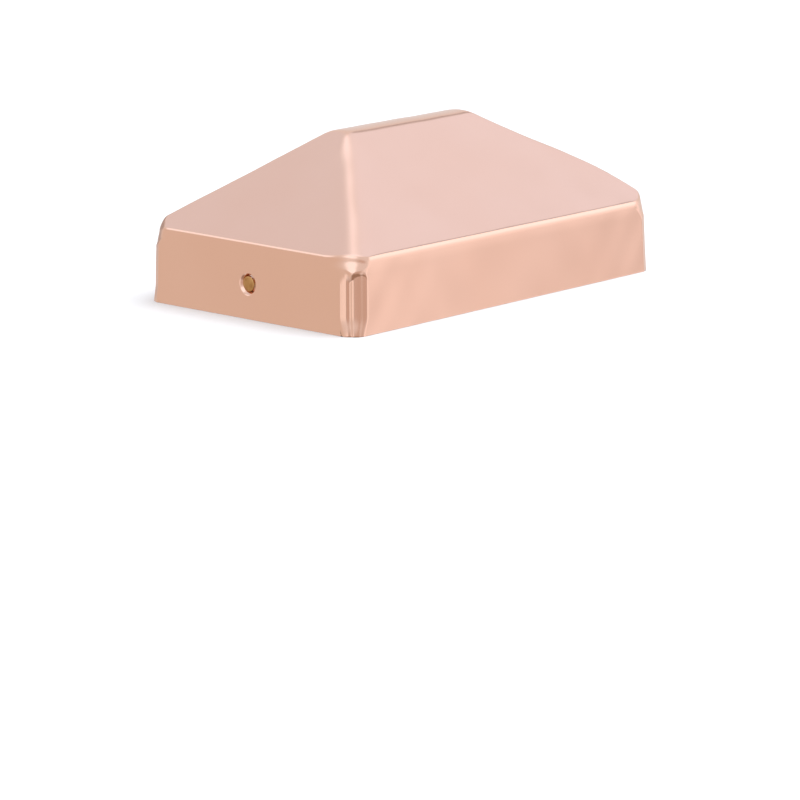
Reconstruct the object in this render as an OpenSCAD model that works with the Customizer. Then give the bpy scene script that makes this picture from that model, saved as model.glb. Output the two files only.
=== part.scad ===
// Hip-roofed sheet-copper cap for a dressed 4x6 fence post, with its two nails.
// Frame: origin at the middle of the rim plane, X along the ridge, +Z up. Millimetres.

/* [Skirt] */
// Outside length of the rim, along X
rim_l = 144.4; // [120:0.1:170]
// Outside width of the rim, along Y
rim_w = 92.4; // [80:0.1:110]
// Height of the crease between skirt and roof
skirt_h = 24.6; // [20:0.1:32]
// How far each wall leans out between crease and rim
flare = 0.5; // [0:0.1:1.5]
// Corner radius in plan at the rim
rim_r = 5; // [3:0.5:8]
// Corner radius in plan at the crease
crease_r = 8; // [5:0.5:12]

/* [Roof] */
// Height of the sharp ridge line above the crease
roof_h = 31.2; // [22:0.1:40]
// Distance between the two ends of the ridge
ridge_l = 55.6; // [30:0.1:80]
// Outside radius along the ridge
ridge_r = 3; // [1.5:0.1:6]
// Outside radius of the bend along the crease
bend_r = 1.5; // [0.8:0.1:3]

/* [Sheet] */
// Thickness of the copper sheet
sheet_t = 0.55; // [0.4:0.05:0.7]

/* [Corner pleats] */
// Radius of the tool that presses each pleat line
pleat_r = 1.1; // [0.8:0.1:2]
// Depth of a pleat line below the rounded corner
pleat_depth = 0.2; // [0.1:0.05:0.25]
// How far below the crease the pleat lines start
pleat_top = 7; // [5:0.5:12]

/* [Nail holes] */
// Height of both nail holes above the rim
hole_z = 11.1; // [8:0.1:16]
// Diameter of each hole
hole_d = 4; // [3.6:0.1:4.4]
// Mouth diameter of the dimple pressed round each hole
dimple_d = 6.8; // [6:0.1:7.4]

/* [Nails] */
// Length from the edge of the head to the point
nail_l = 25; // [22:0.5:40]
// Shank diameter
nail_d = 2.4; // [2:0.1:2.8]
// Head diameter
head_d = 4.9; // [4.8:0.1:5.4]
// Number of rings rolled into the shank
ring_count = 10; // [4:1:12]

/* [Hidden] */
$fn = 32;

crease_l = rim_l - 2 * flare;
crease_w = rim_w - 2 * flare;
side_pitch = atan(2 * roof_h / crease_w);
end_pitch = atan(2 * roof_h / (crease_l - ridge_l));
bend_z = skirt_h - bend_r * (1 / cos(side_pitch) - tan(side_pitch));
ridge_z = skirt_h + roof_h - ridge_r / cos(side_pitch);
ridge_x = crease_l / 2 - (ridge_z + ridge_r / cos(end_pitch) - skirt_h) / tan(end_pitch);

dimple_depth = (dimple_d - hole_d) / 2;
boss_depth = dimple_depth + sheet_t * cos(45);
hole_face_x = half_length(hole_z);

seat_gap = 0.05;
head_edge = 0.2;
dome_h = 0.5;
seat_depth = (dimple_d - head_d) / 2 - seat_gap;
neck_depth = seat_depth + (head_d - nail_d) / 2;
tip_depth = seat_depth + nail_l;
point_l = 3.4;
point_gap = 0.6;
tip_flat = 0.15;
ring_pitch = 1;
ring_depth = 0.15;
ring_run = 0.2;
ring_start = tip_depth - point_l - point_gap - ring_count * ring_pitch;

// Share of the way from the rim up to the crease.
function rise(z) = z / skirt_h;
// Outside half sizes and corner radius of the skirt at height z.
function half_length(z) = rim_l / 2 - flare * rise(z);
function half_width(z) = rim_w / 2 - flare * rise(z);
function corner_radius(z) = rim_r + (crease_r - rim_r) * rise(z);

// Places its children at the four corner centres of the skirt at height z.
module at_corners(z) {
    r = corner_radius(z);
    for (sx = [-1, 1], sy = [-1, 1])
        translate([sx * (half_length(z) - r), sy * (half_width(z) - r), z])
            children();
}

// Solid outline of the cap, inset all over, with its open end at height foot_z.
module cap_form(inset, foot_z) {
    bend = bend_r - inset;
    hull() {
        at_corners(foot_z)
            cylinder(r = corner_radius(foot_z) - inset, h = 0.01);
        at_corners(bend_z)
            rotate_extrude()
                translate([corner_radius(bend_z) - bend_r, 0])
                    intersection() {
                        circle(r = bend);
                        translate([0, -bend])
                            square([bend, 2 * bend]);
                    }
        for (sx = [-1, 1])
            translate([sx * ridge_x, 0, ridge_z])
                sphere(r = ridge_r - inset);
    }
}

// Turns its children, drawn along +Z, to point inwards from an end wall: side -1 is the left end.
module from_end(side) {
    translate([side * hole_face_x, 0, hole_z])
        rotate([0, -side * 90, 0])
            children();
}

// Inner radius of the dimple's sheet at a depth below the wall's outer face.
function boss_radius(depth) = dimple_d / 2 + sheet_t / sin(45) - depth;

// Sheet pushed inwards round a nail hole.
module dimple_boss() {
    start = sheet_t / 2;
    translate([0, 0, start])
        cylinder(r1 = boss_radius(start), r2 = boss_radius(boss_depth), h = boss_depth - start, $fn = 64);
}

// Cone and bore that open the dimple.
module dimple_cut() {
    translate([0, 0, -1])
        cylinder(d1 = dimple_d + 2, d2 = hole_d, h = 1 + dimple_depth, $fn = 64);
    cylinder(d = hole_d, h = boss_depth + 1, $fn = 64);
}

// Vertical pleat lines pressed into the gathered metal at each corner.
module pleat_lines() {
    top = skirt_h - pleat_top;
    for (sx = [-1, 1], sy = [-1, 1], turn = [-24, 0, 24]) {
        a = 45 + turn;
        low = corner_radius(0) + pleat_r - pleat_depth;
        high = corner_radius(top) + pleat_r - pleat_depth;
        foot = [half_length(0) - rim_r + low * cos(a), half_width(0) - rim_r + low * sin(a), 0];
        head = [
            half_length(top) - corner_radius(top) + high * cos(a),
            half_width(top) - corner_radius(top) + high * sin(a),
            top
        ];
        run = head - foot;
        lean = acos(run[2] / norm(run));
        heading = atan2(run[1], run[0]);
        mirror([sx < 0 ? 1 : 0, 0, 0])
            mirror([0, sy < 0 ? 1 : 0, 0])
                translate(foot)
                    rotate([0, lean, heading])
                        translate([0, 0, -1])
                            cylinder(r = pleat_r, h = norm(run) + 1, $fn = 32);
    }
}

// The whole cap: one drawn sheet, open below.
module cap_shell() {
    color([0.87, 0.66, 0.58])
        difference() {
            union() {
                difference() {
                    cap_form(0, 0);
                    cap_form(sheet_t, -1);
                }
                for (side = [-1, 1])
                    from_end(side)
                        dimple_boss();
            }
            for (side = [-1, 1])
                from_end(side)
                    dimple_cut();
            pleat_lines();
        }
}

// Domed top of a nail's head.
function head_points() = [
    for (a = [0:15:90])
        [head_d / 2 * sin(a), seat_depth - head_edge - dome_h * cos(a)]
];

// Each ring bites in sharply and swells back to the full shank.
function ring_points() = [
    for (i = [0:ring_count - 1], swell = [false, true])
        swell
            ? [nail_d / 2, ring_start + (i + 1) * ring_pitch]
            : [nail_d / 2 - ring_depth, ring_start + i * ring_pitch + ring_run]
];

// Half profile of a nail, from the top of the head to the point.
function nail_profile() = concat(
    head_points(),
    [[head_d / 2, seat_depth], [nail_d / 2, neck_depth], [nail_d / 2, ring_start]],
    ring_points(),
    [[nail_d / 2, tip_depth], [0, tip_depth]]
);

// Two crossed wedges cut the round shank to a four-sided point.
module point_wedge() {
    rotate([90, 0, 0])
        linear_extrude(2 * head_d, center = true)
            polygon([
                [-head_d, -2 * dome_h], [head_d, -2 * dome_h],
                [head_d, tip_depth - point_l], [nail_d / 2, tip_depth - point_l], [tip_flat, tip_depth],
                [-tip_flat, tip_depth], [-nail_d / 2, tip_depth - point_l], [-head_d, tip_depth - point_l]
            ]);
}

// One ring-shank nail, driven home in the end wall on that side.
module nail(side) {
    color([0.72, 0.5, 0.26])
        from_end(side)
            intersection() {
                rotate_extrude($fn = 48)
                    polygon(nail_profile());
                point_wedge();
                rotate([0, 0, 90])
                    point_wedge();
            }
}

cap_shell();
nail(-1);  // left_nail
nail(1);  // right_nail
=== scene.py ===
"""Hip-roofed copper post cap with its two ring-shank nails, in soft studio light."""
import math

import bpy
import numpy as np
from mathutils import Matrix, Vector


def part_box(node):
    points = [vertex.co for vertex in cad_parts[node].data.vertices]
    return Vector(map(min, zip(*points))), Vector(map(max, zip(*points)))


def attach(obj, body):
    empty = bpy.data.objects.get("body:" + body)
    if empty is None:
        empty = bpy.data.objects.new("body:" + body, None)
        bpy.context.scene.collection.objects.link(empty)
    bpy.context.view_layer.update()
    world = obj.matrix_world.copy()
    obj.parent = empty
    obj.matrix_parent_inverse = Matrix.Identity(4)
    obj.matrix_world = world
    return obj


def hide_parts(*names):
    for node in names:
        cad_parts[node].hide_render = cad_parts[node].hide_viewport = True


MM = 0.001
QUARTER = math.pi / 2
TINY = 1e-9

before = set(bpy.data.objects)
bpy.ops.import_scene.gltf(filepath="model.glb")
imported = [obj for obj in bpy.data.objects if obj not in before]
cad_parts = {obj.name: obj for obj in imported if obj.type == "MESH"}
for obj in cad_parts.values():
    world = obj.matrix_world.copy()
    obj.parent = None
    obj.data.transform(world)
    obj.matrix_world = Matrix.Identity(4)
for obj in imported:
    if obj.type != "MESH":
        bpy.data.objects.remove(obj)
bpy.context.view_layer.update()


def box_mm(node):
    """A CAD node's lowest and highest corners, in millimetres."""
    low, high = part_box(node)
    return np.array(low) / MM, np.array(high) / MM


# ------------------------------------------------------------ sizes, in millimetres

_, shell_high = box_mm("cap_shell")
nail_low, nail_high = box_mm("left_nail")

# The skirt's rim, how far its walls lean in by the crease, and how they ease in just below it
RIM_X, RIM_Y = shell_high[:2]
END_FLARE = 0.85
SIDE_FLARE = 0.5
EASE = 0.25
EASE_Z = 5.0
SHEET = 0.55

# The crease is not quite level: LEAN_X is its rise at the right end, and LEAN_Y at the back.
CREASE_X = RIM_X - END_FLARE - EASE
CREASE_Y = RIM_Y - SIDE_FLARE - EASE
CREASE_Z = 24.05
LEAN_X = -0.22
LEAN_Y = 0.25

# How far the bend along the crease reaches up the roof and down the skirt. It reaches further down
# the front long wall.
BEND_UP = 0.6
BEND_DOWN = 0.7
LONG_BEND_DOWN = 1.7

# The roof's four planes
ROOF_RISE = 32.8
RIDGE_LEFT = 26.5
RIDGE_RIGHT = 24.2
SIDE_SLOPE = ROOF_RISE / CREASE_Y
LEFT_SLOPE = ROOF_RISE / (CREASE_X - RIDGE_LEFT)
RIGHT_SLOPE = ROOF_RISE / (CREASE_X - RIDGE_RIGHT)

# The right end plane swells out, most of all a quarter of the way up, where SWELL_SCALE makes it
# come to SWELL.
SWELL = 3.2
SWELL_POWER = 3
SWELL_SCALE = 9.48

# The band along the ridge: half its width, the slope at its edges, how it rounds into the sides, and
# how far out the camber goes on below them, in half widths
RIDGE_BAND = 4.25
RIDGE_CAMBER = 0.27
RIDGE_BLEND = 0.9
CAMBER_REACH = 1.5

# The hips' rounding. The front left and back right hips widen as they leave the ridge, between two
# values of x times y.
HIP_BLEND = 1.8
WIDE_HIP_BLEND = 8.5
WIDE_FROM = -60
WIDE_TO = 400

# Lists of corners go anticlockwise from the back right one. Each crease corner has its lengths
# along the long wall and along the end wall.
CREASE_RADII = np.array([(9.4, 9.4), (9.4, 9.4), (7.5, 13.0), (9.4, 9.4)])

# Three of the roof's lower corners are rounded off into balls, and the front left one is left as a
# plain hip. A foot is a ball's height over the crease. To either side of its hip a ball rises by
# BALL_FADE, clear of the roof.
BALL_FEET = np.array([0.4, -0.7, 4.0, 2.1])
BALL_SLOPE = 2.1
BALL_BLEND = 2.4
BALL_FADE = 4.0
BALL_FADE_FROM = 3
BALL_FADE_TO = 15

# Below the crease each corner tightens over its shoulder to a narrow radius, and is pleated.
CORNER_RADII = np.array([(8.4, 8.4), (8.4, 8.4), (4.2, 7.2), (8.4, 8.4)])
SHOULDER_LOW = 18.2
SHOULDER_HIGH = 22.8

# Below LIP_Z each corner kicks out: the share by which its section closes in on the square corner
# at the lip, and how far the section's middle is pushed out as well, for a share of one.
LIP_Z = 6.0
LIP_KICKS = (0.1, 0.12, 0.24, 0.0)
LIP_PUSH = 0.6

# A nail hole at the bottom of its dimple. The dimple's edge rolls over through points at a distance
# outside its radius and at a depth, and goes on down as a 45 degree cone to the hole's lip. The lip
# has a radius, which is stretched downwards, and starts at an angle in radians.
HOLE_Z = (nail_low[2] + nail_high[2]) / 2
HOLE_R = 2.0
DIMPLE_R = 3.4
DIMPLE_EDGE = ((0.6, 0.0), (0.3, 0.04), (0.1, 0.13), (-0.1, 0.3))
CONE_INSET = 0.4
HOLE_LIP = 0.25
HOLE_LIP_DROP = 1.4
HOLE_LIP_FROM = 0.4

# Half the side of the square patch of finer mesh round a hole, and where its first rings lie, as
# shares of the way in from the square to the dimple
PATCH = 5.0
PATCH_RINGS = (0.33, 0.66)

# The flats' waves: their height, their lengths in x, y and z, and how they calm round a hole
WAVE = 0.02
WAVE_LENGTHS = ((31.0, 47.0, 23.0), (19.0, -27.0, 41.0), (-53.0, 17.0, 29.0), (13.0, 37.0, -19.0))
CALM_FROM = 9
CALM_WITHIN = 4

# The sheet's inner side keeps clear of the pleats: how often it is smoothed, over how many columns
# the smoothing starts, and how much further in it lies.
INNER_PASSES = 12
INNER_SPREAD = 7
INNER_CLEARANCE = 0.25

# Mesh resolution, and the powers that crowd the columns towards the corners
CORNER_STEPS = 50
END_STEPS = 10
END_CROWD = 1.6
LONG_STEPS = 16
LONG_CROWD = 1.8
PATCH_STEPS = 24
LOW_STEPS = 14
HIGH_STEPS = 40
BEND_STEPS = 9
CONE_STEPS = 4
HOLE_LIP_STEPS = 4

# Points that agree to this many decimals are welded.
WELD_DIGITS = 4

# The roof's rows are close together below FOOT_SHARE and above BROW_SHARE, as shares of the way up.
FOOT_SHARE = 0.1
FOOT_STEPS = 10
SLOPE_STEPS = 13
BROW_SHARE = 0.88
BROW_STEPS = 11


# ------------------------------------------------------------ small maths

def smoothstep(low, high, x):
    """0 at low and 1 at high, with a smooth start and end."""
    t = np.clip((x - low) / (high - low), 0, 1)
    return t * t * (3 - 2 * t)


def smooth_min(p, q, width):
    """The lower of two heights, rounded where they are less than width apart."""
    near = np.clip(width - np.abs(p - q), 0, None) / width
    return np.minimum(p, q) - near ** 3 * width / 6


# ------------------------------------------------------------ the pleats' section

# One corner seen from above, from the end wall round to the long wall. Each point has its distance
# from the square corner along the long wall and along the end wall, and the two heights between
# which the pleats fade into the plain shoulder above them.
PLEAT_POINTS = np.array([
    (0.00, 6.20, 16.0, 22.5),
    (0.45, 5.20, 16.5, 22.0),
    (0.90, 4.35, 16.5, 21.0),
    (1.35, 4.00, 16.2, 20.5),
    (1.80, 3.60, 16.2, 20.0),
    (1.95, 3.10, 16.6, 19.6),
    (2.15, 2.55, 17.0, 19.2),
    (2.60, 2.05, 17.8, 19.2),
    (3.10, 1.52, 18.2, 19.8),
    (3.60, 1.05, 18.4, 20.2),
    (4.60, 0.62, 18.6, 20.8),
    (5.20, 0.30, 18.4, 21.4),
    (5.60, 0.10, 18.0, 22.0),
    (5.90, 0.00, 17.4, 22.6),
])

# Each value is the mean of three, this share of the section apart, which takes off the sharpest edge.
PLEAT_SOFT = 0.02


def pleat_values(shares, order):
    """The pleats' values at shares of the way along their section, in the given order."""
    lengths = np.linalg.norm(np.diff(PLEAT_POINTS[:, :2], axis=0), axis=1)
    along = np.concatenate([[0], np.cumsum(lengths)]) / lengths.sum()
    columns = PLEAT_POINTS[:, order].T
    total = 0
    for step in (-PLEAT_SOFT, 0, PLEAT_SOFT):
        total = total + np.column_stack([np.interp(shares + step, along, column) for column in columns])
    return total / 3


# ------------------------------------------------------------ columns round the cap

CORNER_SIGNS = ((1, 1), (-1, 1), (-1, -1), (1, -1))


def wall_stations(is_end):
    """Places along a wall's straight stretch, from -1 to 1, close together near the corners."""
    if is_end:
        patch = PATCH / (RIM_Y - CORNER_RADII.max())
        t = np.linspace(0, 1, END_STEPS + 1)
        side = -1 + (1 - patch) * t ** END_CROWD
        middle = np.linspace(-patch, patch, PATCH_STEPS + 1)
        return np.concatenate([side[:-1], middle, -side[-2::-1]])
    t = np.linspace(0, 1, LONG_STEPS + 1)
    side = -1 + t ** LONG_CROWD
    return np.concatenate([side[:-1], -side[::-1]])


def make_columns():
    """Every column, anticlockwise from the right end wall: its share of the straight stretch in
    X and in Y, its place round the nearest corner, 0 at the end wall and 1 at the long wall, that
    corner's number, and whether the column is in the corner itself."""
    made = []
    for quarter in range(4):
        is_end = quarter % 2 == 0
        sign = 1 if quarter < 2 else -1
        for f in wall_stations(is_end):
            shares = (sign, f * sign) if is_end else (-f * sign, sign)
            corner = quarter if f > 0 else (quarter - 1) % 4
            made.append((*shares, 0 if is_end else 1, corner, 0))
        for t in np.linspace(0, 1, CORNER_STEPS + 1)[1:-1]:
            made.append((*CORNER_SIGNS[quarter], t if is_end else 1 - t, quarter, 1))
    return np.array(made, float).T


share_x, share_y, turn, corner_number, in_corner = make_columns()
corner_number = corner_number.astype(int)
COLUMNS = len(turn)
SIDE_X, SIDE_Y = np.array(CORNER_SIGNS)[corner_number].T
LIP_KICK = np.array(LIP_KICKS)[corner_number]
CREASE_RADIUS = CREASE_RADII[corner_number]
CORNER_RADIUS = CORNER_RADII[corner_number]
SKIRT_TOP = CREASE_Z - np.where(SIDE_Y < 0, BEND_DOWN + (LONG_BEND_DOWN - BEND_DOWN) * turn, BEND_DOWN)

# At the back the pleats' section runs the other way, from the long wall round to the end wall.
FRONT_PLEATS = pleat_values(turn, (0, 1, 2, 3))
BACK_PLEATS = pleat_values(1 - turn, (1, 0, 2, 3))
PLEATS = np.where((SIDE_Y > 0)[:, None], BACK_PLEATS, FRONT_PLEATS)

# Each nail hole: the first column of its patch, and its side of the cap
HOLES = ((END_STEPS, 1), (COLUMNS // 2 + END_STEPS, -1))


def plan_loop(half_x, half_y, from_corner):
    """A loop in plan, one point for every column. from_corner has each column's distances from
    the nearest square corner; along the walls it gives where the straight stretch ends."""
    x = SIDE_X * (half_x - from_corner[:, 0])
    y = SIDE_Y * (half_y - from_corner[:, 1])
    straight_x = share_x * (half_x - from_corner[:, 0])
    straight_y = share_y * (half_y - from_corner[:, 1])
    on_end = (in_corner == 0) & (turn == 0)
    on_long = (in_corner == 0) & (turn == 1)
    x = np.where(on_long, straight_x, x)
    y = np.where(on_end, straight_y, y)
    return np.stack([x, y], -1)


def arc_corner(radius):
    """A plain corner, round or elliptical, as each column's distances from the square corner."""
    angle = turn * QUARTER
    return radius * np.column_stack([1 - np.cos(angle), 1 - np.sin(angle)])


# ------------------------------------------------------------ the outer surface

def ball_height(plan):
    """Height above the crease of the ball nearest to a place in plan."""
    right, back = plan[..., 0] > 0, plan[..., 1] > 0
    corner = np.where(right, np.where(back, 0, 3), np.where(back, 1, 2))
    radius = CREASE_RADII[corner, 0]
    x = CREASE_X - np.abs(plan[..., 0])
    y = CREASE_Y - np.abs(plan[..., 1])
    beyond = np.hypot(np.maximum(radius - x, 0), np.maximum(radius - y, 0))
    inset = np.maximum(radius - beyond + np.maximum(np.minimum(x, y) - radius, 0), 0)
    away = BALL_FADE * smoothstep(BALL_FADE_FROM, BALL_FADE_TO, np.abs(x - y))
    return BALL_FEET[corner] + BALL_SLOPE * inset + away


def side_height(y):
    """Height above the crease of the two long planes, with the band along the ridge."""
    planes = (CREASE_Y - np.abs(y)) * SIDE_SLOPE
    across = np.minimum(np.abs(y) / RIDGE_BAND, CAMBER_REACH)
    camber = RIDGE_CAMBER * RIDGE_BAND / 2 * (1 - across ** 2)
    band = (CREASE_Y - RIDGE_BAND) * SIDE_SLOPE + camber
    return smooth_min(planes, band, RIDGE_BLEND)


def end_height(x):
    """Height above the crease of the two end planes, with the right one's swelling."""
    planes = (CREASE_X - np.abs(x)) * np.where(x > 0, RIGHT_SLOPE, LEFT_SLOPE)
    up = np.clip(planes / ROOF_RISE, 0, 1)
    return planes + np.where(x > 0, SWELL, 0) * SWELL_SCALE * up * (1 - up) ** SWELL_POWER


def roof_height(plan):
    """Height of the roof: its planes, rounded into each other along the hips and into the balls
    at the lower corners."""
    x, y = plan[..., 0], plan[..., 1]
    blend = HIP_BLEND + (WIDE_HIP_BLEND - HIP_BLEND) * smoothstep(WIDE_FROM, WIDE_TO, x * y)
    planes = smooth_min(side_height(y), end_height(x), blend)
    share = np.clip(planes / ROOF_RISE, 0, 1)
    lean = (LEAN_X * x / CREASE_X + LEAN_Y * y / CREASE_Y) * (1 - share)
    return CREASE_Z + lean + smooth_min(planes, ball_height(plan), BALL_BLEND)


CREASE_PLAN = plan_loop(CREASE_X, CREASE_Y, arc_corner(CREASE_RADIUS))
CREASE_TOP = roof_height(CREASE_PLAN)
CREASE_LINE = np.column_stack([CREASE_PLAN, CREASE_TOP])
RIDGE_HALF = np.where(share_x > 0, RIDGE_RIGHT, RIDGE_LEFT)
RIDGE_PLAN = np.column_stack([share_x * RIDGE_HALF, np.zeros(COLUMNS)])


def skirt_section(z):
    """The corners' distances from the square corner at heights z, one for each column."""
    shoulder = smoothstep(SHOULDER_LOW, SHOULDER_HIGH, z)[:, None]
    plain = arc_corner(CORNER_RADIUS + (CREASE_RADIUS - CORNER_RADIUS) * shoulder)
    kick = (LIP_KICK * (1 - smoothstep(0, LIP_Z, z)))[:, None]
    push = LIP_PUSH * kick * (4 * turn * (1 - turn))[:, None]
    pleated = np.maximum(PLEATS[:, :2] * (1 - kick) - push, 0)
    fade_low, fade_high = PLEATS[:, 2], PLEATS[:, 3]
    amount = np.clip((fade_high - z) / (fade_high - fade_low), 0, 1)[:, None]
    return plain + (pleated - plain) * amount


def skirt_row(z):
    """One row of the skirt. At the corners it stretches up to the raised crease."""
    z = np.broadcast_to(z, COLUMNS)
    share = z / CREASE_Z
    ease = EASE * np.clip((z - CREASE_Z + EASE_Z) / EASE_Z, 0, 1) ** 2
    half_x = RIM_X - END_FLARE * share - ease
    half_y = RIM_Y - SIDE_FLARE * share - ease
    plan = plan_loop(half_x, half_y, skirt_section(z))
    return np.column_stack([plan, CREASE_TOP * share])


def roof_row(share):
    """One row of the roof, a share of the way in from the crease to the ridge."""
    plan = CREASE_PLAN + (RIDGE_PLAN - CREASE_PLAN) * share
    return np.column_stack([plan, roof_height(plan)])


BEND_SHARE = BEND_UP * math.cos(math.atan(SIDE_SLOPE)) / CREASE_Y


def bend_rows():
    """The bend along the crease: an arc from the top of the skirt to the foot of the roof."""
    foot, head = skirt_row(SKIRT_TOP), roof_row(BEND_SHARE)
    weight = math.cos((QUARTER - math.atan(SIDE_SLOPE)) / 2)
    rows = []
    for t in np.linspace(0, 1, BEND_STEPS):
        a, b, c = (1 - t) ** 2, 2 * t * (1 - t) * weight, t * t
        rows.append((a * foot + b * CREASE_LINE + c * head) / (a + b + c))
    return rows


LOW_Z = np.concatenate([
    np.linspace(0, HOLE_Z - PATCH, LOW_STEPS + 1)[:-1],
    np.linspace(HOLE_Z - PATCH, HOLE_Z + PATCH, PATCH_STEPS + 1),
])
HIGH_SHARES = np.linspace(0, 1, HIGH_STEPS + 1)[1:-1]
ROOF_SHARES = np.concatenate([
    np.linspace(BEND_SHARE, FOOT_SHARE, FOOT_STEPS + 1)[1:-1],
    np.linspace(FOOT_SHARE, BROW_SHARE, SLOPE_STEPS + 1)[:-1],
    np.linspace(BROW_SHARE, 1, BROW_STEPS + 1),
])


def base_surface():
    """The outer surface, rows from rim to ridge by columns, by x, y, z."""
    low = [skirt_row(z) for z in LOW_Z]
    high = [skirt_row(LOW_Z[-1] + (SKIRT_TOP - LOW_Z[-1]) * s) for s in HIGH_SHARES]
    roof = [roof_row(s) for s in ROOF_SHARES]
    return np.array(low + high + bend_rows() + roof)


def surface_normals(surface):
    """Outward normals of a surface, level along the rim and upright along the ridge."""
    round_cap = np.roll(surface, -1, 1) - np.roll(surface, 1, 1)
    upwards = np.gradient(surface, axis=0)
    normals = np.cross(round_cap, upwards)
    length = np.linalg.norm(normals, axis=-1, keepdims=True)
    normals = np.where(length > TINY, normals / np.maximum(length, TINY), (0, 0, 1))
    normals[-1] = (0, 0, 1)
    normals[0, :, 2] = 0
    normals[0] /= np.linalg.norm(normals[0], axis=-1, keepdims=True)
    return normals


def unevenness(surface):
    """Gentle hand-made hollows and swellings in the flats, in millimetres."""
    height = 0
    for i, (a, b, c) in enumerate(WAVE_LENGTHS):
        phase = surface[..., 0] / a + surface[..., 1] / b + surface[..., 2] / c + i
        height = height + np.sin(2 * math.pi * phase)
    near_hole = smoothstep(CALM_FROM, CALM_WITHIN, np.hypot(surface[..., 1], surface[..., 2] - HOLE_Z))
    return WAVE * height * (1 - near_hole)


def inner_surface(outer):
    """The sheet's inner side, which passes smoothly behind the pleats."""
    smooth = outer.copy()
    for _ in range(INNER_PASSES):
        smooth = (np.roll(smooth, 1, 1) + 2 * smooth + np.roll(smooth, -1, 1)) / 4
    spread = np.ones(INNER_SPREAD) / INNER_SPREAD
    mask = np.convolve(np.tile(in_corner, 3), spread, "same")[COLUMNS:2 * COLUMNS]
    mask = (mask * in_corner)[None, :, None] * (outer[..., 2:] < SHOULDER_HIGH)
    middle = outer + (smooth - outer) * mask
    return middle - surface_normals(middle) * (SHEET + INNER_CLEARANCE * mask)


# ------------------------------------------------------------ building meshes

class Shell:
    """Collects points and faces, then welds them into one mesh."""

    def __init__(self):
        self.points = []
        self.faces = []
        self.count = 0

    def add_points(self, points):
        """Adds points, in millimetres, and gives their numbers."""
        points = np.asarray(points, float).reshape(-1, 3)
        first = self.count
        self.points.append(points)
        self.count += len(points)
        return np.arange(first, self.count)

    def add_face(self, corners, flip):
        self.faces.append(corners[::-1] if flip else corners)

    def add_strip(self, low, high, flip=False):
        """Quads between two closed rings of point numbers of the same length."""
        n = len(low)
        for i in range(n):
            j = (i + 1) % n
            self.add_face((low[i], low[j], high[j], high[i]), flip)

    def mesh(self, name):
        """The mesh, with points in the same place welded and the faces that this empties left out."""
        points = np.concatenate(self.points)
        keys = np.round(points, WELD_DIGITS)
        _, keep, number = np.unique(keys, axis=0, return_index=True, return_inverse=True)
        number = number.reshape(-1)
        faces = []
        for face in self.faces:
            corners = list(dict.fromkeys(number[list(face)].tolist()))
            if len(corners) > 2:
                faces.append(corners)
        mesh = bpy.data.meshes.new(name)
        mesh.from_pydata((points[keep] * MM).tolist(), [], faces)
        mesh.validate()
        mesh.shade_smooth()
        return mesh


# ------------------------------------------------------------ the cap's shell

def hole_profile():
    """The dimple's outer side: radius from the hole's axis, and depth below the wall."""
    edge = [(DIMPLE_R + beyond, depth) for beyond, depth in DIMPLE_EDGE]
    edge_r, edge_depth = edge[-1]
    radii = np.linspace(DIMPLE_R - CONE_INSET, HOLE_R + HOLE_LIP, CONE_STEPS)
    cone = [(r, edge_depth + (edge_r - r)) for r in radii]
    cone_depth = cone[-1][1]
    lip = []
    for a in np.linspace(HOLE_LIP_FROM, QUARTER, HOLE_LIP_STEPS):
        drop = HOLE_LIP * (1 - math.cos(a)) * HOLE_LIP_DROP
        lip.append((HOLE_R + HOLE_LIP * (1 - math.sin(a)), cone_depth + drop))
    return np.array(edge + cone + lip)


def inner_profile(profile):
    """The same profile one sheet thickness in, with its depth counted from the wall's inner side."""
    step = np.gradient(profile, axis=0)
    inwards = np.column_stack([step[:, 1], -step[:, 0]])
    inwards /= np.linalg.norm(inwards, axis=1, keepdims=True)
    inner = np.maximum(profile + inwards * SHEET, (HOLE_R, 0))
    inner[:, 1] -= SHEET
    return inner


def end_wall_x(z, side, offset):
    """Where an end wall lies at heights z, a distance offset inside its outer side."""
    return side * (RIM_X - offset) - side * END_FLARE / CREASE_Z * z


def add_patch(shell, ring, side, profile, offset, flip):
    """Rings of faces from a square opening in an end wall down into the nail hole's dimple."""
    points = np.concatenate(shell.points)[ring]
    y, z = points[:, 1], points[:, 2] - HOLE_Z
    bearing = np.arctan2(z, y)
    distance = np.hypot(y, z)
    edge_gap = points[:, 0] - end_wall_x(z + HOLE_Z, side, offset)
    start = profile[0][0]
    steps = [(distance * (1 - t) + start * t, 0.0) for t in PATCH_RINGS]
    steps += [(np.full_like(distance, r), depth) for r, depth in profile]
    last = ring
    for radius, depth in steps:
        ring_y = radius * np.cos(bearing)
        ring_z = radius * np.sin(bearing) + HOLE_Z
        blend = np.clip((distance - radius) / (distance - start), 0, 1)
        ring_x = end_wall_x(ring_z, side, offset) + edge_gap * (1 - blend) - side * depth
        new = shell.add_points(np.column_stack([ring_x, ring_y, ring_z]))
        shell.add_strip(last, new, flip)
        last = new
    return last


def square_ring(grid, column):
    """Point numbers round a hole's square patch, anticlockwise seen from outside."""
    columns = (column + np.arange(PATCH_STEPS + 1)) % COLUMNS
    patch = grid[LOW_STEPS:LOW_STEPS + PATCH_STEPS + 1, columns]
    return np.concatenate([patch[0, :-1], patch[:-1, -1], patch[-1, :0:-1], patch[:0:-1, 0]])


def in_patch(row, column):
    rows = LOW_STEPS <= row < LOW_STEPS + PATCH_STEPS
    return rows and any(first <= column < first + PATCH_STEPS for first, _ in HOLES)


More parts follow.
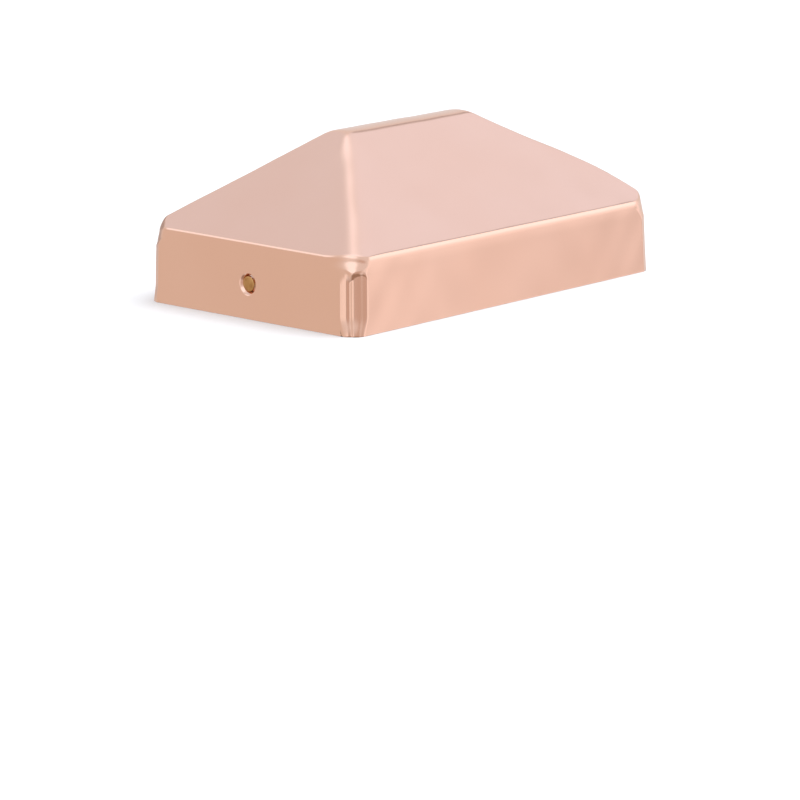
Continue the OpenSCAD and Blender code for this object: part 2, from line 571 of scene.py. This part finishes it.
def add_side(shell, surface, flip):
    """One side of the sheet as a grid of quads, left open at the holes' patches."""
    rows = len(surface)
    grid = shell.add_points(surface).reshape(rows, COLUMNS)
    for r in range(rows - 1):
        for c in range(COLUMNS):
            if not in_patch(r, c):
                d = (c + 1) % COLUMNS
                shell.add_face((grid[r, c], grid[r, d], grid[r + 1, d], grid[r + 1, c]), flip)
    return grid


def build_shell():
    """The copper sheet: its two sides, joined along the rim and through the two nail holes."""
    outer = base_surface()
    outer += surface_normals(outer) * unevenness(outer)[..., None]
    inner = inner_surface(outer)
    outer[0, :, 2] = 0
    inner[0, :, 2] = 0

    shell = Shell()
    outer_grid = add_side(shell, outer, False)
    inner_grid = add_side(shell, inner, True)
    shell.add_strip(inner_grid[0], outer_grid[0])

    outer_hole = hole_profile()
    inner_hole = inner_profile(outer_hole)
    for column, side in HOLES:
        outer_ring = square_ring(outer_grid, column)
        outer_end = add_patch(shell, outer_ring, side, outer_hole, 0, False)
        inner_ring = square_ring(inner_grid, column)
        inner_end = add_patch(shell, inner_ring, side, inner_hole, SHEET, True)
        shell.add_strip(outer_end, inner_end)
    return shell.mesh("copper_cap")


# ------------------------------------------------------------ nails, in millimetres

SHANK_R = 1.2

# The head is domed, with a low upright edge and a 45 degree cone under it. The edge's two points
# have their distance in from the head's radius, and their share of the edge's height.
HEAD_DOME = 0.5
HEAD_EDGE = 0.2
DOME_ANGLES = np.linspace(0.15, 1.45, 10)
EDGE_POINTS = ((0.0, 0.3), (0.02, 0.8))
HEAD_ROUND = 0.1
HEAD_CONE_STEPS = 5

# Each ring on the shank is a groove: its points have their depth, and their place along the ring.
# The plain rows start and end some way from the neck and the rings, and RING_END is left plain
# between the rings and the point.
RINGS = 10
RING_PITCH = 1.0
RING_POINTS = ((0.0, 0.0), (0.14, 0.16), (0.13, 0.3), (0.05, 0.65))
PLAIN_FROM = 0.8
PLAIN_GAP = 0.1
PLAIN_STEPS = 6
RING_END = 0.6

# Four flats taper the shank to a small square tip.
POINT = 3.4
TIP_HALF = 0.12
POINT_STEPS = 12
NAIL_SIDES = 48


def head_profile(head_r):
    """The head's radius at places along the nail, from its middle to the top of the shank."""
    profile = [(0.0, 0.0)]
    profile += [(head_r * math.sin(a), HEAD_DOME * (1 - math.cos(a))) for a in DOME_ANGLES]
    profile += [(head_r - inset, HEAD_DOME + HEAD_EDGE * share) for inset, share in EDGE_POINTS]
    radii = np.linspace(head_r - HEAD_ROUND, SHANK_R + HEAD_ROUND, HEAD_CONE_STEPS)
    profile += [(r, HEAD_DOME + HEAD_EDGE + head_r - r) for r in radii]
    return profile


def shank_profile(neck, length):
    """The shank's radius at places along the nail: plain, ringed and then plain to the tip."""
    ring_start = length - POINT - RING_END - RINGS * RING_PITCH
    profile = [(SHANK_R, neck + HEAD_ROUND)]
    profile += [(SHANK_R, s) for s in np.linspace(neck + PLAIN_FROM, ring_start - PLAIN_GAP, PLAIN_STEPS)]
    for i in range(RINGS):
        base = ring_start + i * RING_PITCH
        profile += [(SHANK_R - depth, base + along) for depth, along in RING_POINTS]
    profile += [(SHANK_R, ring_start + RINGS * RING_PITCH)]
    profile += [(SHANK_R, s) for s in np.linspace(length - POINT, length, POINT_STEPS)]
    profile += [(0.0, length)]
    return profile


def build_nail(name, side):
    """Lathe of the nail's half profile, then four flats cut the point."""
    head_r = (nail_high[1] - nail_low[1]) / 2
    head_x = nail_low[0]
    length = nail_high[0] - head_x
    neck = HEAD_DOME + HEAD_EDGE + (head_r - SHANK_R)
    angles = np.arange(NAIL_SIDES) / NAIL_SIDES * 2 * math.pi
    shell = Shell()
    last = None
    for r, s in head_profile(head_r) + shank_profile(neck, length):
        y, z = r * np.cos(angles), r * np.sin(angles)
        if s > length - POINT:
            taper = np.clip((length - s) / POINT, 0, 1)
            limit = TIP_HALF + (SHANK_R - TIP_HALF) * taper
            y, z = np.clip(y, -limit, limit), np.clip(z, -limit, limit)
        x = np.full(NAIL_SIDES, -side * (head_x + s))
        ring = shell.add_points(np.column_stack([x, y, z + HOLE_Z]))
        if last is not None:
            shell.add_strip(last, ring, flip=side > 0)
        last = ring
    return shell.mesh(name)


# ------------------------------------------------------------ materials

# Noise scales are per metre.
COPPER_TONES = ((0.93, 0.595, 0.468), (0.95, 0.622, 0.5))
BRONZE_TONES = ((0.46, 0.235, 0.085), (0.66, 0.385, 0.155))
TONE_PLACES = (0.3, 0.7)
FLOOR_GREY = (0.9, 0.9, 0.9)


def new_material(name):
    """A new material, with its nodes, its links and its shader."""
    material = bpy.data.materials.new(name)
    material.use_nodes = True
    nodes = material.node_tree.nodes
    return material, nodes, material.node_tree.links, nodes["Principled BSDF"]


def noise(nodes, links, coords, scale, detail=2.0, stretch=(1, 1, 1)):
    mapping = nodes.new("ShaderNodeMapping")
    mapping.inputs["Scale"].default_value = stretch
    links.new(coords, mapping.inputs["Vector"])
    texture = nodes.new("ShaderNodeTexNoise")
    texture.inputs["Scale"].default_value = scale
    texture.inputs["Detail"].default_value = detail
    links.new(mapping.outputs[0], texture.inputs["Vector"])
    return texture.outputs["Fac"]


def two_tones(nodes, links, fac, tones):
    """A colour that goes from one tone to the other with fac."""
    node = nodes.new("ShaderNodeValToRGB")
    for i, tone in enumerate(tones):
        element = node.color_ramp.elements[i]
        element.position = TONE_PLACES[i]
        element.color = (*tone, 1)
    links.new(fac, node.inputs["Fac"])
    return node.outputs["Color"]


def map_range(nodes, links, fac, low, high):
    node = nodes.new("ShaderNodeMapRange")
    node.inputs["To Min"].default_value = low
    node.inputs["To Max"].default_value = high
    links.new(fac, node.inputs["Value"])
    return node.outputs["Result"]


def add_bump(nodes, links, height, strength, distance, below=None):
    """A bump of some strength and distance, in metres, over the bump below it if there is one."""
    node = nodes.new("ShaderNodeBump")
    node.inputs["Strength"].default_value = strength
    node.inputs["Distance"].default_value = distance
    links.new(height, node.inputs["Height"])
    if below is not None:
        links.new(below, node.inputs["Normal"])
    return node.outputs["Normal"]


def copper_material():
    """Bright copper, a little cloudy and smeared, with soft waves and a fine drawn grain."""
    material, nodes, links, shader = new_material("bright_copper_sheet")
    coords = nodes.new("ShaderNodeTexCoord").outputs["Object"]
    clouds = noise(nodes, links, coords, scale=22, detail=3)
    links.new(two_tones(nodes, links, clouds, COPPER_TONES), shader.inputs["Base Color"])
    shader.inputs["Metallic"].default_value = 1
    smears = noise(nodes, links, coords, scale=60, detail=4)
    links.new(map_range(nodes, links, smears, low=0.13, high=0.21), shader.inputs["Roughness"])
    waves = noise(nodes, links, coords, scale=30, detail=1)
    grain = noise(nodes, links, coords, scale=400, detail=2, stretch=(1, 8, 8))
    soft = add_bump(nodes, links, waves, strength=0.15, distance=0.0006)
    fine = add_bump(nodes, links, grain, strength=0.03, distance=0.0001, below=soft)
    links.new(fine, shader.inputs["Normal"])
    return material


def bronze_material():
    """Dull bronze, blotched and finely dented."""
    material, nodes, links, shader = new_material("silicon_bronze_nail")
    coords = nodes.new("ShaderNodeTexCoord").outputs["Object"]
    clouds = noise(nodes, links, coords, scale=500, detail=3)
    links.new(two_tones(nodes, links, clouds, BRONZE_TONES), shader.inputs["Base Color"])
    shader.inputs["Metallic"].default_value = 1
    links.new(map_range(nodes, links, clouds, low=0.25, high=0.45), shader.inputs["Roughness"])
    dents = noise(nodes, links, coords, scale=900, detail=2)
    links.new(add_bump(nodes, links, dents, strength=0.3, distance=0.0001), shader.inputs["Normal"])
    return material


def floor_material():
    material, _, _, shader = new_material("pale_floor")
    shader.inputs["Base Color"].default_value = (*FLOOR_GREY, 1)
    shader.inputs["Roughness"].default_value = 0.9
    return material


# ------------------------------------------------------------ pieces

def add_piece(name, mesh, material, body, node):
    piece = bpy.data.objects.new(name, mesh)
    bpy.context.scene.collection.objects.link(piece)
    mesh.materials.append(material)
    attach(piece, body)
    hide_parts(node)


add_piece("copper_cap", build_shell(), copper_material(), "cap", "cap_shell")
bronze = bronze_material()
for name, end, nail in (("ring_nail_left", -1, "left_nail"), ("ring_nail_right", 1, "right_nail")):
    add_piece(name, build_nail(name, end), bronze, nail, nail)


# ------------------------------------------------------------ floor, light and camera

# In metres and watts
FLOOR_HALF = 6.0
SOFTBOX_SIZE = 1.6
SOFTBOX_POWER = 18
SOFTBOX_PLACE = (0.5, -0.5, 1.6)

# The camera looks along this bearing at the middle of the cap's foot, in degrees, and is then moved
# across and up, in millimetres.
CAMERA_AZIMUTH = -46.97
CAMERA_PITCH = 12.99
CAMERA_ROLL = -0.63
CAMERA_DISTANCE = 1278.9
CAMERA_ACROSS = -1.43
CAMERA_UP = -37.65
CAMERA_LENS = 176.86
CAMERA_SENSOR = 36

# Soft panels of light and shade round the studio, one over another: azimuth, elevation, the angles
# within which a panel is full and beyond which it ends, and its colour.
STUDIO_GREY = (0.8, 0.8, 0.8)
PANELS = [
    ("left_low", 138, -14, 25, 60, (0.73, 0.66, 0.59)),
    ("right_low", 318, -14, 20, 45, (1.08, 1.04, 1.04)),
    ("right_low_dim", 328, -12, 4, 15, (0.76, 0.70, 0.68)),
    ("camera_side", 245, -10, 18, 40, (0.62, 0.52, 0.46)),
    ("pleat_bright", 194, -10, 8, 22, (1.02, 0.99, 0.97)),
    ("below", 240, -65, 20, 45, (0.35, 0.26, 0.20)),
    ("overhead", 60, 88, 14, 36, (1.16, 1.25, 1.38)),
    ("camera_high", 200, 44, 14, 30, (1.2, 1.28, 1.36)),
    ("back_high", 89, 49, 10, 30, (0.777, 0.815, 0.885)),
    ("right_high", 2, 44, 8, 26, (0.92, 0.98, 1.10)),
    ("right_dark", 347, 42, 2, 8, (0.3, 0.28, 0.28)),
    ("ridge_dark", 24, 39, 2, 8, (0.5, 0.47, 0.46)),
    ("right_bright", 321, 22, 10, 22, (1.3, 1.38, 1.45)),
    ("left_bright", 131, 28, 8, 18, (1.15, 1.22, 1.3)),
    ("left_dark", 76, 8, 8, 24, (0.45, 0.42, 0.4)),
]

# The colour sockets of a mix node, by number, because its sockets for other types share their names
MIX_A = 6
MIX_B = 7
MIX_RESULT = 2


def add_floor():
    mesh = bpy.data.meshes.new("floor")
    h = FLOOR_HALF
    mesh.from_pydata([(-h, -h, 0), (h, -h, 0), (h, h, 0), (-h, h, 0)], [], [(0, 1, 2, 3)])
    floor = bpy.data.objects.new("floor", mesh)
    bpy.context.scene.collection.objects.link(floor)
    mesh.materials.append(floor_material())
    floor.visible_glossy = False


def add_panel(nodes, links, direction, below, panel):
    """Lays one panel over the colour below it, and gives the colour of both."""
    name, azimuth, elevation, full, outer, colour = panel
    a, e = math.radians(azimuth), math.radians(elevation)
    dot = nodes.new("ShaderNodeVectorMath")
    dot.operation = "DOT_PRODUCT"
    dot.inputs[1].default_value = (math.cos(a) * math.cos(e), math.sin(a) * math.cos(e), math.sin(e))
    links.new(direction, dot.inputs[0])
    fade = nodes.new("ShaderNodeMapRange")
    fade.interpolation_type = "SMOOTHSTEP"
    fade.inputs["From Min"].default_value = math.cos(math.radians(outer))
    fade.inputs["From Max"].default_value = math.cos(math.radians(full))
    links.new(dot.outputs["Value"], fade.inputs["Value"])
    mix = nodes.new("ShaderNodeMix")
    mix.label = name
    mix.data_type = "RGBA"
    links.new(fade.outputs["Result"], mix.inputs["Factor"])
    if below is None:
        mix.inputs[MIX_A].default_value = (*STUDIO_GREY, 1)
    else:
        links.new(below, mix.inputs[MIX_A])
    mix.inputs[MIX_B].default_value = (*colour, 1)
    return mix.outputs[MIX_RESULT]


def add_world():
    world = bpy.data.worlds.new("studio")
    bpy.context.scene.world = world
    world.use_nodes = True
    nodes, links = world.node_tree.nodes, world.node_tree.links
    direction = nodes.new("ShaderNodeTexCoord").outputs["Generated"]
    colour = None
    for panel in PANELS:
        colour = add_panel(nodes, links, direction, colour, panel)
    links.new(colour, nodes["Background"].inputs["Color"])


def add_softbox():
    """A round lamp high at the front right, turned to the cap."""
    data = bpy.data.lights.new("softbox", "AREA")
    data.shape = "DISK"
    data.size = SOFTBOX_SIZE
    data.energy = SOFTBOX_POWER
    light = bpy.data.objects.new("softbox", data)
    light.location = SOFTBOX_PLACE
    light.rotation_euler = Vector(SOFTBOX_PLACE).to_track_quat("Z", "Y").to_euler()
    light.visible_glossy = False
    bpy.context.scene.collection.objects.link(light)


def add_camera():
    azimuth, pitch = math.radians(CAMERA_AZIMUTH), math.radians(CAMERA_PITCH)
    roll = math.radians(CAMERA_ROLL)
    back = Vector((
        math.sin(azimuth) * math.cos(pitch),
        -math.cos(azimuth) * math.cos(pitch),
        math.sin(pitch),
    ))
    level = Vector((math.cos(azimuth), math.sin(azimuth), 0))
    right = level * math.cos(roll) + back.cross(level) * math.sin(roll)
    up = back.cross(right)
    data = bpy.data.cameras.new("camera")
    data.lens = CAMERA_LENS
    data.sensor_width = CAMERA_SENSOR
    camera = bpy.data.objects.new("camera", data)
    camera.matrix_world = Matrix((right, up, back)).transposed().to_4x4()
    camera.location = (back * CAMERA_DISTANCE + right * CAMERA_ACROSS + up * CAMERA_UP) * MM
    bpy.context.scene.collection.objects.link(camera)
    bpy.context.scene.camera = camera


add_floor()
add_world()
add_softbox()
add_camera()
bpy.context.scene.view_settings.view_transform = "Standard"
